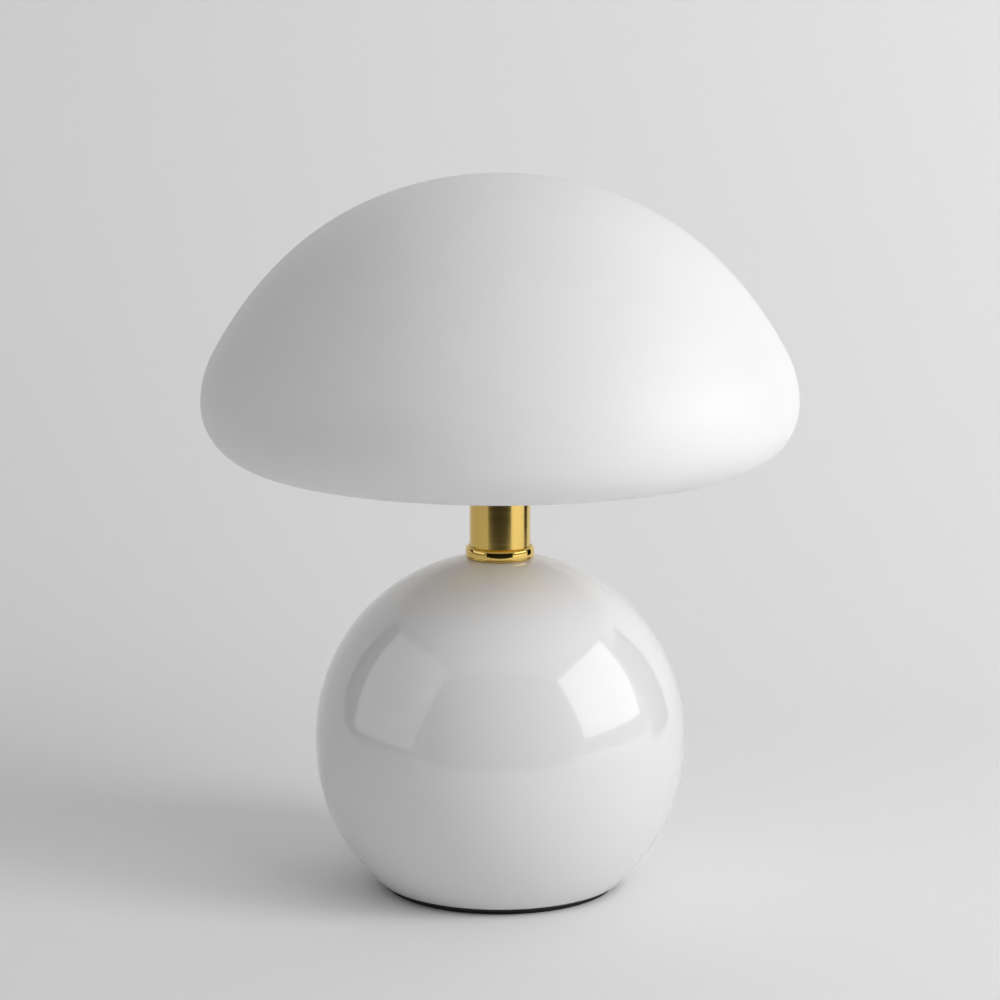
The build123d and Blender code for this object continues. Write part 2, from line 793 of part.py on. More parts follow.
barrel_level = ballast_top + tag_barrel_wall + sleeve_bore
tag_front = -tag_reach + tag_radius
with BuildPart() as earth_lead:
    with BuildLine() as earth_route:
        FilletPolyline(
            (-pole_pitch, lead_start, tunnel_level),
            (-pole_pitch, block_front - lead_grip, tunnel_level),
            (-pole_pitch, tag_front + 2 * tag_barrel_length, barrel_level),
            (-pole_pitch, tag_front, barrel_level),
            radius=5 * lead_radius,
        )
    with BuildSketch(Plane(earth_route.line @ 0, z_dir=earth_route.line % 0)):
        Circle(lead_radius)
    sweep(path=earth_route.line)
finish(earth_lead, "earth_lead")

with BuildPart() as earth_tag:
    with BuildSketch(Plane((-pole_pitch, -tag_reach, ballast_top))):
        Circle(tag_radius)
        with Locations((0, tag_radius)):
            Rectangle(tag_radius, 2 * tag_radius)
        Circle(earth_screw_radius + fit, mode=Mode.SUBTRACT)
    extrude(amount=tag_thickness)
    with BuildSketch(Plane((-pole_pitch, tag_front, barrel_level), x_dir=(1, 0, 0), z_dir=(0, 1, 0))):
        Circle(lead_radius + tag_barrel_wall + fit)
        Circle(lead_radius + fit, mode=Mode.SUBTRACT)
    extrude(amount=tag_barrel_length)
finish(earth_tag, "earth_tag")

with BuildPart() as earth_screw:
    with BuildSketch(Plane((-pole_pitch, -tag_reach, ballast_top + tag_thickness))):
        Circle(earth_screw_head)
    extrude(amount=earth_screw_head_height)
    with BuildSketch(Plane((-pole_pitch, -tag_reach, ballast_top + tag_thickness))):
        Circle(earth_screw_radius)
    extrude(amount=-(tag_thickness + earth_screw_grip))
finish(earth_screw, "earth_screw")

print("overall height", round(shade_top, 2))
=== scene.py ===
import json
import math

import bmesh
import bpy
from mathutils import Matrix, Vector
from mathutils.geometry import interpolate_bezier


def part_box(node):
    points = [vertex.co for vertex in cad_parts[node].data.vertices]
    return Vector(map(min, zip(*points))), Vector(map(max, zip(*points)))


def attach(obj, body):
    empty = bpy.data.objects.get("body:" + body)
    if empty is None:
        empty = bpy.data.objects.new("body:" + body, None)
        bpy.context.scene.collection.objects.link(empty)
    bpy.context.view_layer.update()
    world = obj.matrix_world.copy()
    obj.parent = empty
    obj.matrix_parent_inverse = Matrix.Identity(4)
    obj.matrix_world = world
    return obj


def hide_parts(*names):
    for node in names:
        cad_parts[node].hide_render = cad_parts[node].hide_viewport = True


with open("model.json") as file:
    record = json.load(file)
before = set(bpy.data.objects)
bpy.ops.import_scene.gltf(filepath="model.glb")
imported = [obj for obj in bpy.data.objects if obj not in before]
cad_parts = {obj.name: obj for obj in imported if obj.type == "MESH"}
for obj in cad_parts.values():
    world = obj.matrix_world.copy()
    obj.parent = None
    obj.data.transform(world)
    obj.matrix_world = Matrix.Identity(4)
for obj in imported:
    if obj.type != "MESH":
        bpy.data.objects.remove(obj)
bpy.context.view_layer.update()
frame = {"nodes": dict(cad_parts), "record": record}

mm = 0.001
weldGap = 1e-4  # mm, within which two points of a turned shape are one
ringGap = 0.02  # mm, within which a point counts as on a ring
levelGap = 1e-3  # mm, within which a face counts as at a level
cutOver = 1.0  # mm that a cutter stands out of what it cuts
flareParts = 12


class Section:  # a half section in front of the axis, in mm, drawn step by step and then spun
    def __init__(self, x, z, heading=0):
        self.bm = bmesh.new()
        self.tip = self.bm.verts.new((x, 0, z))
        self.first = self.tip
        self.heading = heading  # degrees, clockwise from +X

    def to(self, x, z, parts=1):
        start = self.tip.co.copy()
        for part in range(parts):
            there = self.bm.verts.new(start.lerp((x, 0, z), (part + 1) / parts))
            self.bm.edges.new((self.tip, there))
            self.tip = there
        return self

    def turn(self, heading):
        self.heading = heading
        return self

    def ahead(self, length):
        way = math.radians(self.heading)
        here = self.tip.co
        return self.to(here.x + length * math.cos(way), here.z - length * math.sin(way))

    def bend(self, radius, angle, stepLength=1.5):  # a tangent arc, clockwise if angle > 0
        side = 1 if angle > 0 else -1
        way = math.radians(self.heading)
        centre = self.tip.co + side * radius * Vector((-math.sin(way), 0, -math.cos(way)))
        swept = math.radians(angle)
        steps = max(3, math.ceil(abs(swept) * radius / stepLength))
        made = bmesh.ops.spin(
            self.bm, geom=[self.tip], cent=centre, axis=(0, 1, 0), angle=swept, steps=steps,
        )
        self.tip = [g for g in made["geom_last"] if isinstance(g, bmesh.types.BMVert)][0]
        self.heading += angle
        return self

    def flare(self, x, z, leave, arrive, reach):  # a free curve between two directions
        start = self.tip.co.copy()
        end = Vector((x, 0, z))
        leave, arrive = (Vector((a, 0, b)).normalized() * reach for a, b in (leave, arrive))
        for point in interpolate_bezier(start, start + leave, end - arrive, end, flareParts + 1)[1:]:
            self.to(point.x, point.z)
        return self

    def close(self):
        self.bm.edges.new((self.tip, self.first))
        return self

    def spin(self, steps):  # a full turn round Z; points on the axis become poles
        section = self.bm.verts[:] + self.bm.edges[:]
        bmesh.ops.spin(
            self.bm, geom=section, cent=(0, 0, 0), axis=(0, 0, 1), angle=math.tau, steps=steps,
            use_merge=True,
        )
        bmesh.ops.remove_doubles(self.bm, verts=self.bm.verts, dist=weldGap)
        bmesh.ops.recalc_face_normals(self.bm, faces=self.bm.faces)
        return self.bm


def heights(node):  # the lowest and highest point of a node, in mm
    return [corner.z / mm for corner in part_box(node)]


def onRing(bm, radius, low, high):  # the points of a turned shape at one radius, between two heights
    for point in bm.verts:
        reach = math.hypot(point.co.x, point.co.y)
        if low <= point.co.z <= high and abs(reach - radius) < ringGap:
            yield point


def moveOut(point, change):
    reach = math.hypot(point.co.x, point.co.y)
    point.co.x *= 1 + change / reach
    point.co.y *= 1 + change / reach


def rollThread(bm, radii, low, high, pitch, depth):  # a round thread that runs out at its ends
    for radius in radii:
        for point in list(onRing(bm, radius, low, high)):
            turn = math.atan2(point.co.y, point.co.x) / math.tau
            wave = 0.5 - 0.5 * math.cos(math.tau * (point.co.z / pitch - turn))
            fade = min(1, (point.co.z - low) / pitch, (high - point.co.z) / pitch)
            moveOut(point, -depth * wave * max(0, fade))


def flute(bm, radius, low, high, count, depth):  # upright grooves round a turned shape
    for point in list(onRing(bm, radius, low, high)):
        angle = math.atan2(point.co.y, point.co.x)
        moveOut(point, -depth * (0.5 - 0.5 * math.cos(count * angle)))


hexLook = {"flat": 0.25, "chamfer": 30, "spin": 72}  # the face's flat ring in mm, its chamfer in degrees


def cutHexagon(bm, flats, low, high):  # a turned blank's outer ring becomes six flats with chamfered corners
    half, sixth = flats / 2, math.radians(60)
    for point in list(onRing(bm, half, low, high)):
        angle = math.atan2(point.co.y, point.co.x)
        corner = half / math.cos(angle % sixth - sixth / 2)
        drop = (corner - half + hexLook["flat"]) * math.tan(math.radians(hexLook["chamfer"]))
        moveOut(point, corner - half)
        point.co.z += -drop if point.co.z > (low + high) / 2 else drop


def hexBlank(bore, flats, low, high):  # a nut, from its bore out to its flats
    half = flats / 2
    inner = half - hexLook["flat"]
    outline = Section(bore, low).to(inner, low).to(half, low)
    outline.to(half, high).to(inner, high).to(bore, high).close()
    bm = outline.spin(hexLook["spin"])
    cutHexagon(bm, flats, low, high)
    return bm


crossShape = {"half": 0.4, "reach": 1.6, "depth": 0.9, "taper": 0.7}


def crossRecess(bm, level):  # a screwdriver's cross, cut up into the flat face at this level
    half, reach, taper = crossShape["half"], crossShape["reach"], crossShape["taper"]

    def isFlat(face):
        return abs(face.normal.z) > 0.99 and abs(face.calc_center_median().z - level) < levelGap

    for axis in (Vector((1, 0, 0)), Vector((0, 1, 0))):
        for offset in (-reach, -half, half, reach):
            faces = [face for face in bm.faces if isFlat(face)]
            edges = list({edge for face in faces for edge in face.edges})
            points = list({point for face in faces for point in face.verts})
            around = faces + edges + points
            bmesh.ops.bisect_plane(bm, geom=around, plane_co=axis * offset, plane_no=axis)
    cross = []
    for face in bm.faces:
        centre = face.calc_center_median()
        across, along = sorted((abs(centre.x), abs(centre.y)))
        if isFlat(face) and across < half and along < reach:
            cross.append(face)
    made = bmesh.ops.extrude_face_region(bm, geom=cross)
    sunk = [g for g in made["geom"] if isinstance(g, bmesh.types.BMVert)]
    bmesh.ops.translate(bm, vec=(0, 0, crossShape["depth"]), verts=sunk)
    bmesh.ops.scale(bm, vec=(taper, taper, 1), verts=sunk)
    bmesh.ops.recalc_face_normals(bm, faces=bm.faces)


def pins(ring, count, start, radii, low, high):  # round cutters that stand on a ring
    bm = bmesh.new()
    for number in range(count):
        angle = math.radians(start + 360 * number / count)
        centre = Vector((ring * math.cos(angle), ring * math.sin(angle), (low + high) / 2))
        bmesh.ops.create_cone(
            bm, cap_ends=True, segments=32, radius1=radii[0], radius2=radii[1],
            depth=high - low, matrix=Matrix.Translation(centre),
        )
    return bm


def meshFrom(bm, name):
    mesh = bpy.data.meshes.new(name)
    bm.to_mesh(mesh)
    bm.free()
    return mesh


def putInScene(name, data):
    thing = bpy.data.objects.new(name, data)
    bpy.context.scene.collection.objects.link(thing)
    return thing


def cutAway(bm, cutter):  # what is left of one closed shape when another is taken from it
    pair = [putInScene("cutting", meshFrom(shape, "cutting")) for shape in (bm, cutter)]
    tool = pair[0].modifiers.new("cut", "BOOLEAN")
    tool.operation = "DIFFERENCE"
    tool.solver = "EXACT"
    tool.object = pair[1]
    seen = pair[0].evaluated_get(bpy.context.evaluated_depsgraph_get())
    left = bmesh.new()
    left.from_mesh(seen.to_mesh())
    for thing in pair:
        mesh = thing.data
        bpy.data.objects.remove(thing)
        bpy.data.meshes.remove(mesh)
    return left


def finishPiece(bm, name, body, nodes, slot, sharp=35, place=None):  # a mesh in mm becomes a piece on a body
    bmesh.ops.scale(bm, vec=(mm, mm, mm), verts=bm.verts)
    if place is not None:
        bmesh.ops.transform(bm, matrix=place, verts=bm.verts)
    mesh = meshFrom(bm, name)
    mesh.shade_smooth()
    mesh.set_sharp_from_angle(angle=math.radians(sharp))
    mesh.materials.append(paints[slot])
    piece = putInScene(name, mesh)
    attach(piece, body)
    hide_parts(*nodes)


class Wire:  # one socket, so that sums on values add Math nodes
    def __init__(self, paint, socket):
        self.paint = paint
        self.socket = socket

    def __add__(self, other):
        return self.paint.math("ADD", self, other)

    def __sub__(self, other):
        return self.paint.math("SUBTRACT", self, other)

    def __rsub__(self, other):
        return self.paint.math("SUBTRACT", other, self)

    def __mul__(self, other):
        return self.paint.math("MULTIPLY", self, other)

    __radd__ = __add__
    __rmul__ = __mul__


class Paint:  # a material, built node by node
    def __init__(self, name, **fixed):
        self.material = bpy.data.materials.new(name)
        self.material.use_nodes = True
        self.tree = self.material.node_tree
        self.shader = self.tree.nodes["Principled BSDF"]
        for socket, value in fixed.items():
            self.shader.inputs[socket.replace("_", " ")].default_value = value
        self.place = self.add("ShaderNodeTexCoord", {}, {}, "Object")

    def add(self, kind, settings, sockets, output=0):
        node = self.tree.nodes.new(kind)
        for key, value in settings.items():
            setattr(node, key, value)
        for key, value in sockets.items():
            self.join(value, node.inputs[key])
        return Wire(self, node.outputs[output])

    def join(self, value, socket):
        if isinstance(value, Wire):
            self.tree.links.new(value.socket, socket)
        else:
            socket.default_value = value

    def feed(self, socket, value):
        self.join(value, self.shader.inputs[socket])

    def stretched(self, scale):  # the object's own coordinates, scaled along each axis
        return self.add("ShaderNodeMapping", {}, {"Vector": self.place, "Scale": scale})

    def noise(self, scale, detail=2.0, place=None):
        where = place or self.place
        return self.add("ShaderNodeTexNoise", {}, {"Vector": where, "Scale": scale, "Detail": detail})

    def math(self, operation, first, second):
        return self.add("ShaderNodeMath", {"operation": operation}, {0: first, 1: second})

    def spread(self, value, low, high):  # 0..1 mapped to low..high
        return value * (high - low) + low

    def tint(self, factor, first, second):
        sockets = {"Factor": factor, 6: first, 7: second}
        return self.add("ShaderNodeMix", {"data_type": "RGBA"}, sockets, 2)

    def bump(self, height, distance):
        sockets = {"Height": height, "Distance": distance, "Strength": 1.0}
        self.feed("Normal", self.add("ShaderNodeBump", {}, sockets))


def rgb(red, green, blue):
    return (red, green, blue, 1.0)


opalLook = {
    "light": rgb(0.94, 0.94, 0.922),
    "deep": rgb(0.925, 0.925, 0.905),
    "roughness": (0.39, 0.45),
    "cloudScale": 9.0,
    "etchScale": 2600.0,
    "etch": 0.00002,
    "blownScale": 6.0,
    "blown": 0.0012,  # the slow waviness that mouth blowing leaves
    "depth": 0.006,  # how far light runs in the glass, so that it glows through from its lit side
}


def opalGlass():
    look = opalLook
    paint = Paint("opalGlass", Subsurface_Weight=1.0, Subsurface_Scale=look["depth"], IOR=1.5)
    paint.feed("Subsurface Radius", (1.0, 1.0, 1.0))
    cloud = paint.noise(look["cloudScale"], 3.0)
    etch = paint.noise(look["etchScale"])
    blown = paint.noise(look["blownScale"], 1.0)
    paint.feed("Base Color", paint.tint(cloud, look["deep"], look["light"]))
    paint.feed("Roughness", paint.spread(1 - cloud, *look["roughness"]))
    paint.bump(etch * look["etch"] + blown * look["blown"], 1.0)
    return paint.material


lacquerLook = {
    "light": rgb(0.745, 0.745, 0.757),
    "deep": rgb(0.73, 0.73, 0.744),
    "roughness": (0.09, 0.13),
    "coat": 0.5,
    "coatRoughness": 0.04,
    "cloudScale": 14.0,
    "peelScale": 420.0,
    "peel": 0.00001,
}


def whiteLacquer():
    look = lacquerLook
    paint = Paint("whiteLacquer", Coat_Weight=look["coat"], Coat_Roughness=look["coatRoughness"], IOR=1.5)
    cloud = paint.noise(look["cloudScale"])
    peel = paint.noise(look["peelScale"], 1.0)
    paint.feed("Base Color", paint.tint(cloud, look["deep"], look["light"]))
    paint.feed("Roughness", paint.spread(peel, *look["roughness"]))
    paint.bump(peel, look["peel"])
    return paint.material


brassLook = {
    "light": rgb(0.86, 0.63, 0.21),
    "deep": rgb(0.76, 0.52, 0.13),
    "strokeScale": 60.0,
    "strokeStretch": 30.0,
    "cloudScale": 70.0,
    "cloudShare": 0.6,
    "hazeScale": 25.0,
    "haze": 0.2,  # this and the next two are shares of the finish's roughness
    "smoothest": 0.6,
    "roughest": 1.3,
    "satinBrass": (0.14, 0.000012),  # roughness, and the strokes' depth in m
    "polishedBrass": (0.05, 0.000003),
}


def brass(name):  # strokes run round the axis, with slow patches of tarnish
    look = brassLook
    roughness, depth = look[name]
    paint = Paint(name, Metallic=1.0)
    strokes = paint.noise(look["strokeScale"], 4.0, paint.stretched((1.0, 1.0, look["strokeStretch"])))
    cloud = paint.noise(look["cloudScale"], 3.0)
    haze = paint.noise(look["hazeScale"])
    worn = cloud * look["cloudShare"] + strokes * (1 - look["cloudShare"])
    paint.feed("Base Color", paint.tint(worn, look["deep"], look["light"]))
    brushed = paint.spread(strokes, roughness * look["smoothest"], roughness * look["roughest"])
    paint.feed("Roughness", brushed + haze * (roughness * look["haze"]))
    paint.bump(strokes, depth)
    return paint.material


plainLook = {  # slot: light and deep colour, smoothest, roughest, scale of the grain, metallic, relief in m
    "foot_foam": ((0.012, 0.012, 0.013), (0.006, 0.006, 0.006), 0.75, 0.95, 900.0, 0.0, 0.0001),
    "black_steel": ((0.016, 0.016, 0.017), (0.010, 0.010, 0.011), 0.35, 0.5, 1400.0, 0.0, 0.00002),
    "cast_iron": ((0.10, 0.10, 0.10), (0.05, 0.05, 0.05), 0.5, 0.8, 500.0, 0.6, 0.0003),
    "zinc_steel": ((0.62, 0.64, 0.68), (0.48, 0.50, 0.54), 0.22, 0.38, 700.0, 1.0, 0.00001),
    "black_nylon": ((0.020, 0.020, 0.021), (0.012, 0.012, 0.013), 0.4, 0.55, 1500.0, 0.0, 0.00002),
    "clear_silicone": ((0.72, 0.72, 0.70), (0.64, 0.64, 0.62), 0.35, 0.5, 500.0, 0.0, 0.00002),
    "holder_white": ((0.78, 0.77, 0.74), (0.72, 0.71, 0.68), 0.28, 0.4, 900.0, 0.0, 0.00002),
    "core_ceramic": ((0.74, 0.71, 0.64), (0.66, 0.63, 0.56), 0.5, 0.65, 900.0, 0.0, 0.00002),
    "nickel_shell": ((0.70, 0.68, 0.64), (0.58, 0.56, 0.52), 0.16, 0.3, 600.0, 1.0, 0.00001),
    "contact_bronze": ((0.70, 0.42, 0.20), (0.55, 0.32, 0.14), 0.22, 0.35, 700.0, 1.0, 0.00001),
    "terminal_brass": ((0.74, 0.56, 0.28), (0.60, 0.44, 0.18), 0.25, 0.38, 700.0, 1.0, 0.00001),
    "bulb_diffuser": ((0.88, 0.88, 0.86), (0.86, 0.86, 0.84), 0.3, 0.36, 500.0, 0.0, 0.000005),
    "bulb_housing": ((0.80, 0.80, 0.79), (0.76, 0.76, 0.75), 0.22, 0.3, 900.0, 0.0, 0.00002),
    "cap_insulator": ((0.010, 0.010, 0.014), (0.006, 0.006, 0.009), 0.08, 0.16, 400.0, 0.0, 0.00002),
    "block_nylon": ((0.74, 0.74, 0.70), (0.68, 0.68, 0.64), 0.4, 0.5, 900.0, 0.0, 0.00002),
    "lead_brown": ((0.14, 0.060, 0.025), (0.11, 0.045, 0.018), 0.3, 0.4, 900.0, 0.0, 0.00002),
    "lead_blue": ((0.025, 0.11, 0.42), (0.02, 0.085, 0.34), 0.3, 0.4, 900.0, 0.0, 0.00002),
}


def plain(slot):  # a moulded, cast or plated finish, with clouds eight times as large as its grain
    light, deep, smoothest, roughest, grain, metallic, relief = plainLook[slot]
    first, *others = slot.split("_")
    paint = Paint(first + "".join(word.capitalize() for word in others), Metallic=metallic)
    cloud = paint.noise(grain / 8, 3.0)
    fine = paint.noise(grain, 3.0)
    paint.feed("Base Color", paint.tint(cloud, rgb(*deep), rgb(*light)))
    paint.feed("Roughness", paint.spread(fine, smoothest, roughest))
    paint.bump(fine, relief)
    return paint.material


stripeLook = {
    "green": rgb(0.05, 0.29, 0.06),
    "yellow": rgb(0.75, 0.62, 0.05),
    "middle": -0.010,  # the lead's own place from side to side, in m
    "half": 0.0005,
    "grain": 900.0,
    "roughness": (0.3, 0.4),
}


def stripedLead():  # a yellow stripe along the green
    look = stripeLook
    paint = Paint("leadGreen")
    across = paint.add("ShaderNodeSeparateXYZ", {}, {"Vector": paint.place}, "X") - look["middle"]
    stripe = paint.math("LESS_THAN", across * across, look["half"] ** 2)
    paint.feed("Base Color", paint.tint(stripe, look["green"], look["yellow"]))
    paint.feed("Roughness", paint.spread(paint.noise(look["grain"]), *look["roughness"]))
    return paint.material


paints = {
    "opal_glass": opalGlass(),
    "gloss_white": whiteLacquer(),
    "satin_brass": brass("satinBrass"),
    "polished_brass": brass("polishedBrass"),
    "lead_green": stripedLead(),
}
for slot in plainLook:
    paints[slot] = plain(slot)
slotOf = {row["node"]: row["material_slot"] for row in frame["record"]["subparts"]}
for nodeName, node in frame["nodes"].items():
    node.data.materials.clear()
    node.data.materials.append(paints[slotOf[nodeName]])
print("materials:", len(paints))


shadeShape = {
    "arcs": [  # radius and degrees of each arc of the outside, from the crown round to the land
        (136.0, 20.1), (122.4, 24.6), (153.1, 17.7), (41.9, 26.5),
        (24.8, 79.5), (182.7, 11.6), (45.0, 17.1), (45.0, -17.1),
    ],
    "wall": 3.0,
    "hole": 32.0,
    "groundEdge": 0.4,
    "innerStep": 3.0,
    "spin": 168,
}


def makeShade():  # the outside from the crown round to the land at the hole, and back inside
    top = heights("glass_shade")[1]
    wall, edge, hole = shadeShape["wall"], shadeShape["groundEdge"], shadeShape["hole"]
    outline = Section(0, top)
    for radius, angle in shadeShape["arcs"]:
        outline.bend(radius, angle)
    landStart, land = outline.tip.co.x, outline.tip.co.z
    outline.to(hole + edge, land).bend(edge, 90, edge / 4)
    outline.to(hole, land + wall - edge).bend(edge, 90, edge / 4)
    outline.to(landStart, land + wall)
    for radius, angle in reversed(shadeShape["arcs"]):
        side = 1 if angle > 0 else -1
        outline.bend(radius - side * wall, -angle, shadeShape["innerStep"])
    bm = outline.spin(shadeShape["spin"])
    finishPiece(bm, "opalShade", "shade", ["glass_shade"], "opal_glass", 60)


makeShade()
print("shade made")


ballShape = {
    "radius": 77.5,
    "rim": 51.7,
    "foot": 3.0,
    "band": 3.1,
    "wall": 1.5,
    "flange": 12.0,
    "lip": 1.0,
    "lipStep": 0.15,
    "hole": 5.2,
    "innerStep": 3.0,
    "spin": 168,
}


def ballCentre():  # the height of the lower half's centre
    return ballShape["foot"] + math.sqrt(ballShape["radius"] ** 2 - ballShape["rim"] ** 2)


def makeBall():  # two pressed halves on a short band, with the flange turned in round the base opening
    shape = ballShape
    radius, wall = shape["radius"], shape["wall"]
    upCentre = ballCentre() + shape["band"]
    start = math.degrees(math.asin(shape["hole"] / radius))
    outline = Section(shape["hole"], upCentre + radius * math.cos(math.radians(start)), start)
    outline.bend(radius, 90 - start).ahead(shape["band"])
    lipCentre = shape["foot"] + shape["lip"]  # the lip rolls inside the ball's outline down to the foot
    lipTurn = math.degrees(math.asin((ballCentre() - lipCentre) / (radius - shape["lip"])))
    outline.bend(radius, lipTurn)
    outline.bend(shape["lip"], 180 - outline.heading, shape["lipStep"])
    outline.to(shape["rim"] - shape["flange"], shape["foot"])
    outline.turn(270).ahead(wall)
    innerRadius = radius - wall
    innerDrop = ballCentre() - outline.tip.co.z
    innerTurn = math.degrees(math.asin(innerDrop / innerRadius))
    outline.to(math.sqrt(innerRadius**2 - innerDrop**2), outline.tip.co.z)
    outline.turn(270 + innerTurn).bend(innerRadius, -innerTurn, shape["innerStep"]).ahead(shape["band"])
    innerStart = math.degrees(math.asin(shape["hole"] / innerRadius))
    outline.bend(innerRadius, innerStart - 90, shape["innerStep"]).close()
    bm = outline.spin(shape["spin"])
    finishPiece(bm, "ballShell", "base", ["ball_shell"], "gloss_white", 50)


makeBall()
print("ball made")


tubeShape = {
    "outside": 12.7,
    "wall": 1.0,
    "edge": 0.2,
    "edgeStep": 0.05,
    "sideParts": 12,
    "closeGap": 1e-3,  # within which the section's end meets its start
    "spin": 128,
}


def makeTube():
    shape = tubeShape
    low, high = heights("neck_tube")
    outside, edge, step = shape["outside"], shape["edge"], shape["edgeStep"]
    inside = outside - shape["wall"]
    outline = Section(outside, low + edge, 270).to(outside, high - edge, shape["sideParts"])
    outline.bend(edge, -90, step).to(inside, high).to(inside, low)
    outline.to(outside - edge, low).turn(0).bend(edge, -90, step)
    bmesh.ops.remove_doubles(outline.bm, verts=outline.bm.verts, dist=shape["closeGap"])
    bm = outline.spin(shape["spin"])
    finishPiece(bm, "neckTube", "base", ["neck_tube"], "satin_brass", 30)


collarShape = {
    "outside": 14.4,
    "fit": 0.1,
    "hole": 5.2,
    "topEdge": 1.5,
    "lowEdge": 0.8,
    "lowTurn": 80,  # degrees in all, down to the hollow underneath
    "edgeStep": 0.12,
    "lean": 8,  # degrees that the crowned face leans at its top and bottom
    "crownReach": 1.0,
    "underInset": 0.9,
    "underParts": 7,
    "spin": 128,
}


def makeCollar():  # a cup that the tube stands in, hollow underneath to sit on the ball
    shape = collarShape
    low, high = heights("neck_collar")
    floor, middle = heights("neck_tube")[0], heights("ball_shell")[1] - ballShape["radius"]
    outside, hole, step, parts = (shape[key] for key in ("outside", "hole", "edgeStep", "underParts"))
    topEdge, lowEdge, lean, reach = (shape[key] for key in ("topEdge", "lowEdge", "lean", "crownReach"))
    inside, ball = tubeShape["outside"] + shape["fit"], ballShape["radius"] + shape["fit"]
    outline = Section(hole, floor).to(inside, floor).to(inside, high)
    away, down = math.sin(math.radians(lean)), -math.cos(math.radians(lean))
    side = outside - 0.75 * reach * away  # a curve's middle stands out by three quarters of its handles
    outline.to(side + topEdge * down, high).bend(topEdge, 90 - lean, step)
    outline.flare(side, low + lowEdge, (away, down), (-away, down), reach)
    outline.turn(90 + lean).bend(lowEdge, shape["lowTurn"] - lean, step)
    for part in range(parts + 1):
        under = hole + (outside - shape["underInset"] - hole) * (1 - part / parts)
        outline.to(under, middle + math.sqrt(ball**2 - under**2))
    bm = outline.close().spin(shape["spin"])
    finishPiece(bm, "neckCollar", "base", ["neck_collar"], "polished_brass", 30)


makeTube()
makeCollar()
print("neck made")


screwShape = {
    "ring": 44.0,
    "count": 3,
    "start": 90,
    "head": 2.8,
    "headRim": 0.1,
    "shank": 1.5,
    "top": 7.5,
    "chamfer": 0.4,
    "fit": 0.1,
    "pitch": 0.5,
    "depth": 0.25,
    "threadGap": 0.3,
    "threadParts": 40,
    "spin": 32,
}


def screwPins(radii, low, high):  # cutters where the base screws go
    return pins(screwShape["ring"], screwShape["count"], screwShape["start"], radii, low, high)


padShape = {
    "outside": 48.5,
    "hole": 11.0,
    "thickness": 1.5,
    "driverHole": 3.2,
    "edge": 0.3,
    "edgeStep": 0.1,
    "spin": 128,
}


def makePad():
    shape = padShape
    outside, hole, top, edge, step = (
        shape[key] for key in ("outside", "hole", "thickness", "edge", "edgeStep")
    )
    outline = Section(hole, top).to(outside - edge, top).bend(edge, 90, step)
    outline.to(outside, edge).bend(edge, 90, step).to(hole + edge, 0).bend(edge, 90, step).close()
    drivers = screwPins((shape["driverHole"], shape["driverHole"]), -cutOver, top + cutOver)
    bm = cutAway(outline.spin(shape["spin"]), drivers)
    finishPiece(bm, "footPad", "base", ["foot_pad"], "foot_foam")


plateShape = {
    "outside": 49.5,
    "thickness": 1.5,
    "dish": 9.0,
    "dishFoot": 11.0,  # where the dish's slope starts
    "dishRise": 3.0,
    "boltHole": 3.1,
    "sinkBelow": 0.5,
    "sinkAbove": 0.1,
    "sinkTaper": 0.2,
    "edge": 0.3,
    "edgeStep": 0.1,
    "spin": 128,
}


def makePlate():  # a flat disc with a raised dish in its middle for the bolt's head
    shape = plateShape
    low, thick, edge, step = padShape["thickness"], shape["thickness"], shape["edge"], shape["edgeStep"]
    high, rise, dish, foot = low + thick, shape["dishRise"], shape["dish"], shape["dishFoot"]
    outline = Section(shape["boltHole"], low + rise).to(dish, low + rise).to(foot, low)
    outline.to(shape["outside"] - edge, low).turn(0).bend(edge, -90, step)
    outline.to(shape["outside"], high - edge).bend(edge, -90, step)
    outline.to(foot + thick / 2, high).to(dish + thick / 2, high + rise)
    outline.to(shape["boltHole"], high + rise).close()
    wide = screwShape["head"] + screwShape["fit"] + shape["sinkBelow"]
    narrow = screwShape["shank"] + screwShape["fit"] - shape["sinkTaper"]
    sinks = screwPins((wide, narrow), low - shape["sinkBelow"], high + shape["sinkAbove"])
    bm = cutAway(outline.spin(shape["spin"]), sinks)
    finishPiece(bm, "basePlate", "base", ["base_plate"], "black_steel")


def makeBaseScrews():  # countersunk, with a cross recess and a thread: one, and then copies round the ring
    shape = screwShape
    head, shank, top, chamfer = (shape[key] for key in ("head", "shank", "top", "chamfer"))
    low = padShape["thickness"]
    neck = low + head - shank
    outline = Section(0, low).to(head, low).to(head, low + shape["headRim"]).to(shank, neck)
    outline.to(shank, top - chamfer, shape["threadParts"]).to(shank - chamfer, top).to(0, top)
    bm = outline.spin(shape["spin"])
    rollThread(bm, [shank], neck + shape["threadGap"], top - chamfer, shape["pitch"], shape["depth"])
    crossRecess(bm, low)
    bmesh.ops.translate(bm, vec=(0, shape["ring"], 0), verts=bm.verts)
    bmesh.ops.spin(
        bm, geom=bm.verts[:] + bm.edges[:] + bm.faces[:], cent=(0, 0, 0), axis=(0, 0, 1),
        angle=math.tau * (1 - 1 / shape["count"]), steps=shape["count"] - 1, use_duplicate=True,
    )
    finishPiece(bm, "baseScrews", "base", ["base_screws"], "zinc_steel", 30)


makePad()
makePlate()
makeBaseScrews()


boltShape = {
    "flats": 10.0,
    "head": 4.0,
    "shank": 3.0,
    "chamfer": 0.5,
    "pitch": 1.0,
    "depth": 0.5,
    "thread": 12.0,
    "threadParts": 72,
}


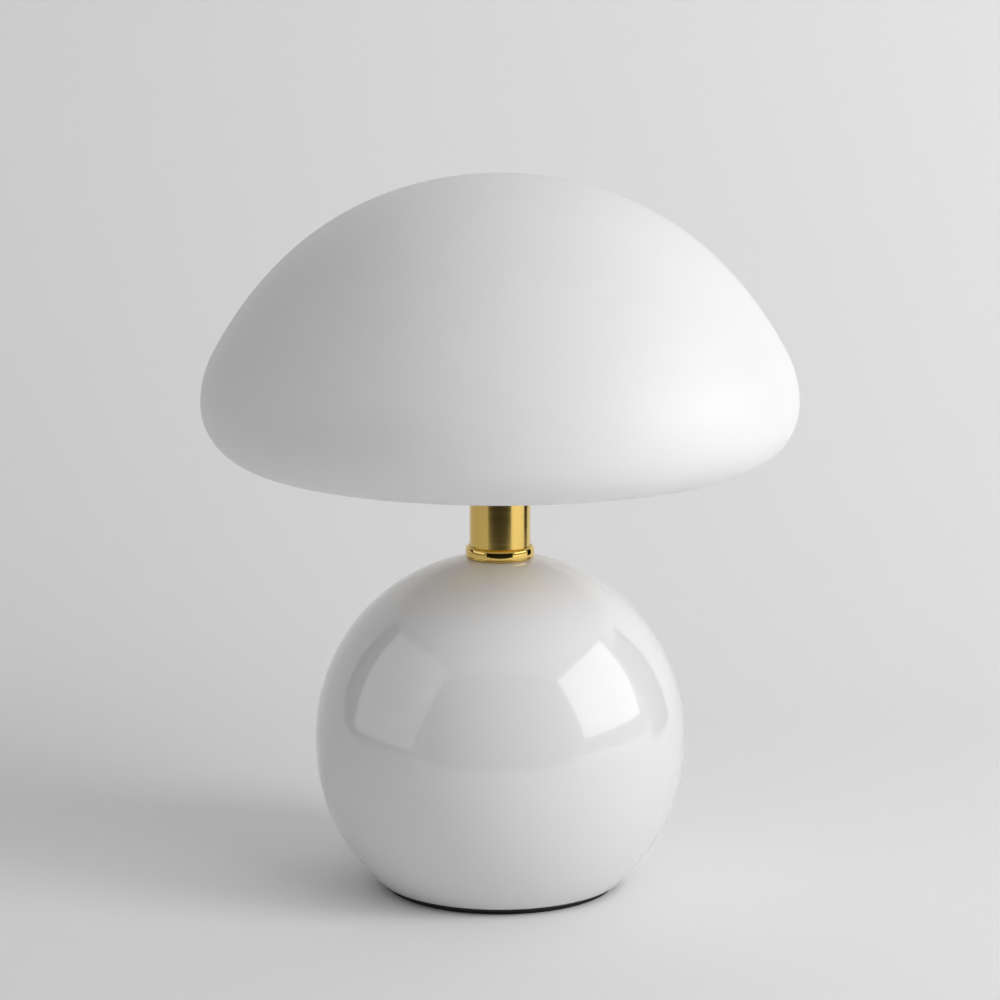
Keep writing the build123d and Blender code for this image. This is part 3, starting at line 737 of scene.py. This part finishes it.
def makeBolt():  # its head hangs in the dish and its thread stands in the nut on the ballast
    shape = boltShape
    low, high = heights("ballast_bolt")
    shank, half, chamfer = shape["shank"], shape["flats"] / 2, shape["chamfer"]
    seat, start = low + shape["head"], high - shape["thread"]
    outline = Section(0, low).to(half - hexLook["flat"], low).to(half, low).to(half, seat)
    outline.to(shank, seat).to(shank, start).to(shank, high - chamfer, shape["threadParts"])
    bm = outline.to(shank - chamfer, high).to(0, high).spin(hexLook["spin"])
    cutHexagon(bm, shape["flats"], low, seat)
    rollThread(bm, [shank], start, high, shape["pitch"], shape["depth"])
    finishPiece(bm, "ballastBolt", "base", ["ballast_bolt"], "zinc_steel", 30)


nutShape = {  # piece: its node, bore and flats
    "ballastNut": ("ballast_nut", 3.05, 10.0),
    "neckNut": ("neck_nut", 5.05, 14.0),
    "carrierNut": ("carrier_nut", 5.05, 14.0),
}


def makeNuts():
    for name, (node, bore, flats) in nutShape.items():
        finishPiece(hexBlank(bore, flats, *heights(node)), name, "base", [node], "zinc_steel", 30)


makeBolt()
makeNuts()
print("foot and fasteners made")


glandShape = {
    "slope": 30.0,  # degrees that it points below level
    "bore": 3.1,
    "mouth": 0.6,
    "flats": 14.0,
    "flange": 2.5,
    "nose": 6.2,
    "noseTop": 6.5,
    "edge": 1.2,
    "edgeStep": 0.15,
    "ribs": 16,
    "ribDepth": 0.35,
    "ribStart": 0.4,
    "ribEnd": 0.1,
    "shank": 5.0,
    "length": 12.0,
    "chamfer": 0.5,
    "pitch": 1.5,
    "depth": 0.6,
    "threadEnd": -2,
    "threadParts": 64,
    "spin": 96,
}
glandNutShape = {"fit": 0.05, "gap": 1.97, "thickness": 3.0}


def glandPlace():  # +Z of the gland's own drawing points out of the ball, low on its back
    slope = math.radians(glandShape["slope"])
    out = Vector((0, math.cos(slope), -math.sin(slope)))
    middle = Vector((0, 0, ballCentre())) + out * ballShape["radius"]
    turn = Matrix.Rotation(math.radians(-90) - slope, 4, "X")
    return Matrix.Translation(middle * mm) @ turn


def makeGland():
    shape = glandShape
    bore, mouth, nose, shank, edge = (shape[key] for key in ("bore", "mouth", "nose", "shank", "edge"))
    half, flange, noseTop, chamfer = shape["flats"] / 2, shape["flange"], shape["noseTop"], shape["chamfer"]
    end = chamfer - shape["length"]
    outline = Section(bore, -shape["length"]).to(shank - chamfer, -shape["length"]).to(shank, end)
    outline.to(shank, 0, shape["threadParts"]).to(half - hexLook["flat"], 0).to(half, 0).to(half, flange)
    outline.to(nose, flange).to(nose, noseTop - edge, 4)
    outline.turn(270).bend(edge, -90, shape["edgeStep"]).to(bore + mouth, noseTop)
    bm = outline.to(bore, noseTop - mouth).close().spin(shape["spin"])
    cutHexagon(bm, shape["flats"], 0, flange)
    ribLow, ribHigh = flange + shape["ribStart"], noseTop - edge - shape["ribEnd"]
    flute(bm, nose, ribLow, ribHigh, shape["ribs"], shape["ribDepth"])
    rollThread(bm, [shank], end, shape["threadEnd"], shape["pitch"], shape["depth"])
    finishPiece(bm, "cordGland", "base", ["cord_gland"], "black_nylon", 40, glandPlace())


def makeGlandNut():  # inside the ball, on the gland's thread
    top = -glandNutShape["gap"]
    bore = glandShape["shank"] + glandNutShape["fit"]
    bm = hexBlank(bore, glandShape["flats"], top - glandNutShape["thickness"], top)
    finishPiece(bm, "glandNut", "base", ["gland_nut"], "black_nylon", 40, glandPlace())


makeGland()
makeGlandNut()
print("gland made")


carrierShape = {
    "outside": 41.7,
    "thickness": 1.5,
    "roundStep": 0.12,
    "spigot": 30.6,
    "spigotWall": 1.5,
    "spigotHeight": 7.0,
    "rimStep": 0.2,
    "hole": 5.2,
    "ventRing": 19.05,
    "ventCount": 16,
    "vent": 1.0,
    "edge": 0.3,
    "edgeStep": 0.1,
    "spin": 144,
}


def makeCarrier():  # a spun disc with a rounded under edge, a spigot and a ring of vents
    shape = carrierShape
    low = heights("shade_carrier")[0]
    top = low + shape["thickness"]
    outside, spigot, hole, edge, step = (
        shape[key] for key in ("outside", "spigot", "hole", "edge", "edgeStep")
    )
    underEdge, rimEdge = shape["thickness"] / 2, shape["spigotWall"] / 2
    outline = Section(hole, low).to(outside - underEdge, low)
    outline.turn(0).bend(underEdge, -90, shape["roundStep"])
    outline.to(outside, top - edge).bend(edge, -90, step)
    outline.to(spigot + edge, top).turn(180).bend(edge, 90, step)
    outline.to(spigot, top + shape["spigotHeight"] - rimEdge).bend(rimEdge, -180, shape["rimStep"])
    outline.to(spigot - shape["spigotWall"], top + edge).bend(edge, 90, step).to(hole, top).close()
    radii = (shape["vent"], shape["vent"])
    vents = pins(shape["ventRing"], shape["ventCount"], 0, radii, low - cutOver, top + cutOver)
    bm = cutAway(outline.spin(shape["spin"]), vents)
    finishPiece(bm, "shadeCarrier", "base", ["shade_carrier"], "satin_brass", 30)


gasketShape = {
    "outside": 39.7,
    "thickness": 1.5,
    "sleeve": 31.7,
    "sleeveWall": 1.0,
    "sleeveHeight": 5.0,
    "edge": 0.3,
    "edgeStep": 0.1,
    "spin": 144,
}


def makeGasket():  # a flat ring under the glass and a sleeve inside its hole
    shape = gasketShape
    low = heights("shade_gasket")[0]
    top, edge, step = low + shape["thickness"], shape["edge"], shape["edgeStep"]
    outside, sleeve, inside = shape["outside"], shape["sleeve"], shape["sleeve"] - shape["sleeveWall"]
    peak = top + shape["sleeveHeight"]
    outline = Section(inside, low).to(outside - edge, low).turn(0).bend(edge, -90, step)
    outline.to(outside, top - edge).bend(edge, -90, step).to(sleeve, top)
    outline.to(sleeve, peak - edge).turn(270).bend(edge, -90, step).to(inside, peak).close()
    bm = outline.spin(shape["spin"])
    finishPiece(bm, "shadeGasket", "base", ["shade_gasket"], "clear_silicone", 40)


makeCarrier()
makeGasket()
print("carrier made")


holderCapShape = {
    "outside": 14.0,
    "wall": 1.8,
    "foot": 10.0,
    "footInset": 0.5,
    "footEdge": 0.7,
    "floor": 3.0,
    "boss": 7.55,
    "bossBore": 5.05,
    "bossHeight": 9.0,
    "ribs": 36,
    "ribDepth": 0.4,
    "ribEnd": 1.5,
    "ribSlack": 0.1,
    "edge": 0.3,
    "edgeStep": 0.1,
    "spin": 144,
}


def makeHolderCap():
    shape = holderCapShape
    low, high = heights("holder_cap")
    outside, wall, foot, boss, bore = (
        shape[key] for key in ("outside", "wall", "foot", "boss", "bossBore")
    )
    edge, step, end, slack = (shape[key] for key in ("edge", "edgeStep", "ribEnd", "ribSlack"))
    inside, floor, bossTop = outside - wall, low + shape["floor"], low + shape["bossHeight"]
    ribLow = low + outside - foot + end
    outline = Section(bore, low).to(foot - shape["footInset"], low)
    outline.turn(0).bend(shape["footEdge"], -45, step)
    outline.to(outside, ribLow - end).to(outside, ribLow, 2)
    outline.to(outside, high - end, 8).to(outside, high - edge, 2)
    outline.turn(270).bend(edge, -90, step).to(inside, high).to(inside, floor + wall)
    outline.to(inside - wall, floor).to(boss, floor).to(boss, bossTop).to(bore, bossTop).close()
    bm = outline.spin(shape["spin"])
    flute(bm, outside, ribLow - slack, high - end + slack, shape["ribs"], shape["ribDepth"])
    finishPiece(bm, "holderCap", "base", ["holder_cap"], "holder_white", 40)


barrelShape = {
    "outside": 14.0,
    "flange": 2.0,
    "screwIn": 5.5,
    "thread": 12.1,
    "bore": 10.5,
    "chamfer": 0.4,
    "edge": 0.3,
    "edgeStep": 0.1,
    "pitch": 2.0,
    "depth": 0.7,
    "threadGap": 0.5,
    "threadParts": 64,
    "spin": 96,
}


def makeHolderBarrel():  # its lower end stands in the cap, and its thread is above the flange
    shape = barrelShape
    low, high = heights("holder_barrel")
    seat = low + shape["screwIn"]
    top = seat + shape["flange"]
    outside, thread, bore, edge, step, chamfer = (
        shape[key] for key in ("outside", "thread", "bore", "edge", "edgeStep", "chamfer")
    )
    outline = Section(bore, low).to(thread, low).to(thread, seat, 12).to(outside - edge, seat)
    outline.turn(0).bend(edge, -90, step).to(outside, top - edge).bend(edge, -90, step).to(thread, top)
    outline.to(thread, high - chamfer, shape["threadParts"]).to(thread - chamfer, high)
    outline.to(bore + chamfer, high).to(bore, high - chamfer).close()
    bm = outline.spin(shape["spin"])
    start = top + shape["threadGap"]
    rollThread(bm, [thread], start, high - chamfer, shape["pitch"], shape["depth"])
    finishPiece(bm, "holderBarrel", "base", ["holder_barrel"], "holder_white", 40)


shellShape = {
    "bore": 7.25,
    "wall": 0.4,
    "hole": 4.2,
    "pitch": 2.82,
    "depth": 0.45,
    "threadGap": 1,
    "threadParts": 60,
    "spin": 72,
}


def makeHolderShell():  # pressed sheet with the bulb's thread rolled outwards
    shape = shellShape
    low, high = heights("holder_shell")
    bore, wall, hole, parts = (shape[key] for key in ("bore", "wall", "hole", "threadParts"))
    outline = Section(hole, low).to(bore + wall, low).to(bore + wall, high, parts)
    outline.to(bore, high).to(bore, low + wall, parts).to(hole, low + wall).close()
    bm = outline.spin(shape["spin"])
    rollThread(bm, [bore, bore + wall], low + shape["threadGap"], high, shape["pitch"], -shape["depth"])
    finishPiece(bm, "holderShell", "base", ["holder_shell"], "nickel_shell", 40)


makeHolderCap()
makeHolderBarrel()
makeHolderShell()
print("lamp holder made")


globeShape = {"radius": 22.5, "wall": 1.0, "jointDrop": 11.5, "spin": 120}


def makeGlobe():
    top = heights("bulb_globe")[1]
    radius, drop = globeShape["radius"], globeShape["jointDrop"]
    inner = radius - globeShape["wall"]
    outer = 90 + math.degrees(math.asin(drop / radius))
    turned = 90 + math.degrees(math.asin(drop / inner))
    outline = Section(0, top).bend(radius, outer)
    outline.to(math.sqrt(inner**2 - drop**2), outline.tip.co.z).turn(turned + 180).bend(inner, -turned)
    bm = outline.spin(globeShape["spin"])
    finishPiece(bm, "bulbGlobe", "bulb", ["bulb_globe"], "bulb_diffuser", 50)


housingShape = {
    "collar": 7.35,
    "collarHeight": 0.8,
    "step": 0.6,
    "stepHeight": 1.2,
    "neck": 11.5,
    "neckHeight": 6.0,
    "seam": 0.25,
    "curve": 2.6,
    "spin": 120,
}


def makeHousing():  # from the screw cap's collar out to the globe, with a shadow line at the joint
    shape = housingShape
    low, high = heights("bulb_housing")
    drop = globeShape["jointDrop"]
    joint = math.sqrt(globeShape["radius"] ** 2 - drop**2)
    collar, seam, neckTop = shape["collar"], shape["seam"], low + shape["neckHeight"]
    outline = Section(0, low).to(collar, low).to(collar, low + shape["collarHeight"])
    outline.to(collar + shape["step"], low + shape["stepHeight"]).to(shape["neck"], neckTop, 3)
    outline.flare(joint, high - 2 * seam, (0, 1), (drop, joint), (high - neckTop) / shape["curve"])
    outline.to(joint - seam, high - 2 * seam).to(joint - seam, high).to(0, high)
    bm = outline.spin(shape["spin"])
    finishPiece(bm, "bulbHousing", "bulb", ["bulb_housing"], "bulb_housing", 40)


bulbCapShape = {
    "outside": 6.95,
    "wall": 0.4,
    "edge": 0.9,
    "edgeStep": 0.15,
    "lip": 0.6,
    "lipRise": 0.5,
    "depth": 0.5,
    "threadLow": 1,
    "threadHigh": 1.5,
    "outerParts": 64,
    "innerParts": 60,
    "spin": 72,
}


def makeBulbCap():  # pressed sheet with its thread rolled in
    shape = bulbCapShape
    low, high = heights("bulb_cap")
    outside, edge, inside = shape["outside"], shape["edge"], shape["outside"] - shape["wall"]
    start, end = low + shape["threadLow"], high - shape["threadHigh"]
    outline = Section(inside - shape["lip"], low + shape["lipRise"]).to(outside - edge, low)
    outline.turn(0).bend(edge, -90, shape["edgeStep"]).to(outside, high, shape["outerParts"])
    outline.to(inside, high).to(inside, start, shape["innerParts"]).close()
    bm = outline.spin(shape["spin"])
    rollThread(bm, [outside, inside], start, end, shellShape["pitch"], shape["depth"])
    finishPiece(bm, "bulbCap", "bulb", ["bulb_cap"], "nickel_shell", 40)


insulatorShape = {"tipRoom": 2.6, "brim": 0.8, "brimDrop": 0.6, "spin": 64}


def makeInsulator():  # a black glass cone inside the cap's lower edge
    shape = insulatorShape
    low, high = heights("bulb_insulator")
    wide = bulbCapShape["outside"] - bulbCapShape["wall"]
    outline = Section(0, low).to(shape["tipRoom"], low).to(wide - shape["brim"], high - shape["brimDrop"], 4)
    bm = outline.to(wide, high).to(0, high).spin(shape["spin"])
    finishPiece(bm, "bulbInsulator", "bulb", ["bulb_insulator"], "cap_insulator", 40)


tipShape = {"radius": 2.2, "dome": 0.8, "spin": 48}  # the dome is a share of its height


def makeTip():
    low, high = heights("bulb_tip")
    radius, dome = tipShape["radius"], (high - low) * tipShape["dome"]
    outline = Section(0, high).to(radius, high).to(radius, low + dome)
    bm = outline.flare(0, low, (0, -1), (-1, 0), dome).spin(tipShape["spin"])
    finishPiece(bm, "bulbTip", "bulb", ["bulb_tip"], "contact_bronze", 50)


makeGlobe()
makeHousing()
makeBulbCap()
makeInsulator()
makeTip()
print("bulb made")


roomLook = {  # the sweep's sizes in mm, apart from its width in m
    "gray": 0.88,
    "roughness": 0.85,
    "level": -0.1,  # just under the foot, so that no two faces share a plane
    "near": -2400.0,
    "bendStart": 250.0,
    "bend": 450.0,
    "bendStep": 30,
    "rise": 2600.0,
    "width": 6.0,
}


def makeRoom():
    look = roomLook
    outline = Section(look["near"], look["level"]).to(look["bendStart"], look["level"])
    bm = outline.bend(look["bend"], -90, look["bendStep"]).ahead(look["rise"]).bm
    bmesh.ops.scale(bm, vec=(mm, mm, mm), verts=bm.verts)
    turn = Matrix.Rotation(math.radians(90), 3, "Z")
    bmesh.ops.rotate(bm, cent=(0, 0, 0), matrix=turn, verts=bm.verts)
    bmesh.ops.translate(bm, vec=(-look["width"] / 2, 0, 0), verts=bm.verts)
    made = bmesh.ops.extrude_edge_only(bm, edges=bm.edges[:])
    moved = [g for g in made["geom"] if isinstance(g, bmesh.types.BMVert)]
    bmesh.ops.translate(bm, vec=(look["width"], 0, 0), verts=moved)
    mesh = meshFrom(bm, "paperSweep")
    mesh.shade_smooth()
    paint = Paint("paleSweep", Roughness=look["roughness"])
    paint.feed("Base Color", rgb(look["gray"], look["gray"], look["gray"]))
    seen = paint.add("ShaderNodeLightPath", {}, {}, "Is Camera Ray")
    behind = paint.add("ShaderNodeNewGeometry", {}, {}, "Backfacing")
    clear = paint.add("ShaderNodeBsdfTransparent", {}, {})  # so that views from behind look through it
    sheet = Wire(paint, paint.shader.outputs[0])
    both = paint.add("ShaderNodeMixShader", {}, {0: seen * behind, 1: sheet, 2: clear})
    paint.join(both, paint.tree.nodes["Material Output"].inputs["Surface"])
    mesh.materials.append(paint.material)
    sweep = putInScene("paperSweep", mesh)


def aim(at, towards):  # the turn that faces from one point towards another
    return (Vector(towards) - Vector(at)).to_track_quat("-Z", "Y")


flagLook = {  # dark cards that only the gloss sees: place, aim, width, height
    "flagFront": ((-0.02, -0.55, 0.36), (-0.02, 0, 0.36), 1.06, 0.74),
    "flagLeft": ((-1.03, -0.06, 0.60), (0, 0, 0.2), 1.74, 1.36),
    "flagRight": ((0.60, 0.27, 0.25), (0, 0, 0.25), 0.26, 0.50),
}
feltLook = {"deep": rgb(0.004, 0.004, 0.004), "light": rgb(0.008, 0.008, 0.008), "grain": 300.0}


def makeFlags():
    paint = Paint("blackFelt", Roughness=1.0)
    fibres = paint.noise(feltLook["grain"])
    paint.feed("Base Color", paint.tint(fibres, feltLook["deep"], feltLook["light"]))
    for name, (at, towards, width, height) in flagLook.items():
        bm = bmesh.new()
        bmesh.ops.create_grid(bm, x_segments=1, y_segments=1, size=0.5)
        bmesh.ops.scale(bm, vec=(width, height, 1), verts=bm.verts)
        place = Matrix.Translation(at) @ aim(at, towards).to_matrix().to_4x4()
        bmesh.ops.transform(bm, matrix=place, verts=bm.verts)
        mesh = meshFrom(bm, name)
        mesh.materials.append(paint.material)
        flag = putInScene(name, mesh)
        flag.visible_camera = flag.visible_diffuse = flag.visible_shadow = flag.visible_transmission = False


lampLook = {  # name: place, aim, width, height, watts, what it lights: matt surfaces or gloss
    "keyRight": ((1.01, -0.27, 0.58), (0, 0, 0.10), 1.0, 0.8, 6.0, "gloss"),
    "farRight": ((1.7, -0.7, 0.9), (0, 0, 0.15), 0.8, 0.8, 11.5, "matt"),
    "frontRight": ((1.3, -1.0, 1.0), (0, 0, 0.15), 1.5, 1.4, 12.5, "matt"),
    "cardLeft": ((-1.0, -0.12, 0.60), (0, 0, 0.2), 1.4, 1.15, 4.6, "gloss"),
}
worldLook = {"gray": 0.9, "strength": 0.42}


def makeLights():
    for name, (at, towards, width, height, watts, lights) in lampLook.items():
        lamp = bpy.data.lights.new(name, "AREA")
        lamp.shape = "RECTANGLE"
        lamp.size = width
        lamp.size_y = height
        lamp.energy = watts
        box = putInScene(name, lamp)
        box.location = at
        box.rotation_euler = aim(at, towards).to_euler()
        box.visible_camera = False
        box.visible_glossy = lights == "gloss"
        box.visible_diffuse = lights == "matt"
    world = bpy.data.worlds.new("softRoom")
    world.use_nodes = True
    sky = world.node_tree.nodes["Background"].inputs
    sky["Color"].default_value = rgb(worldLook["gray"], worldLook["gray"], worldLook["gray"])
    sky["Strength"].default_value = worldLook["strength"]
    bpy.context.scene.world = world


cameraView = {  # place in m, pitch in degrees, and the focal length in pixels of a square image
    "distance": 1.4684,
    "height": 0.4526,
    "pitch": 11.11,
    "focal": 3600.0,
    "imageWidth": 1000.0,
    "sensor": 36.0,
}


def makeCamera():
    lens = bpy.data.cameras.new("photoCamera")
    lens.sensor_width = cameraView["sensor"]
    lens.sensor_fit = "HORIZONTAL"
    lens.lens = cameraView["focal"] / cameraView["imageWidth"] * lens.sensor_width
    camera = putInScene("photoCamera", lens)
    camera.location = (0, -cameraView["distance"], cameraView["height"])
    camera.rotation_euler = (math.radians(90 - cameraView["pitch"]), 0, 0)
    bpy.context.scene.camera = camera


makeRoom()
makeFlags()
makeLights()
bpy.context.scene.view_settings.view_transform = "Standard"
makeCamera()
print("stage, lights and camera set")
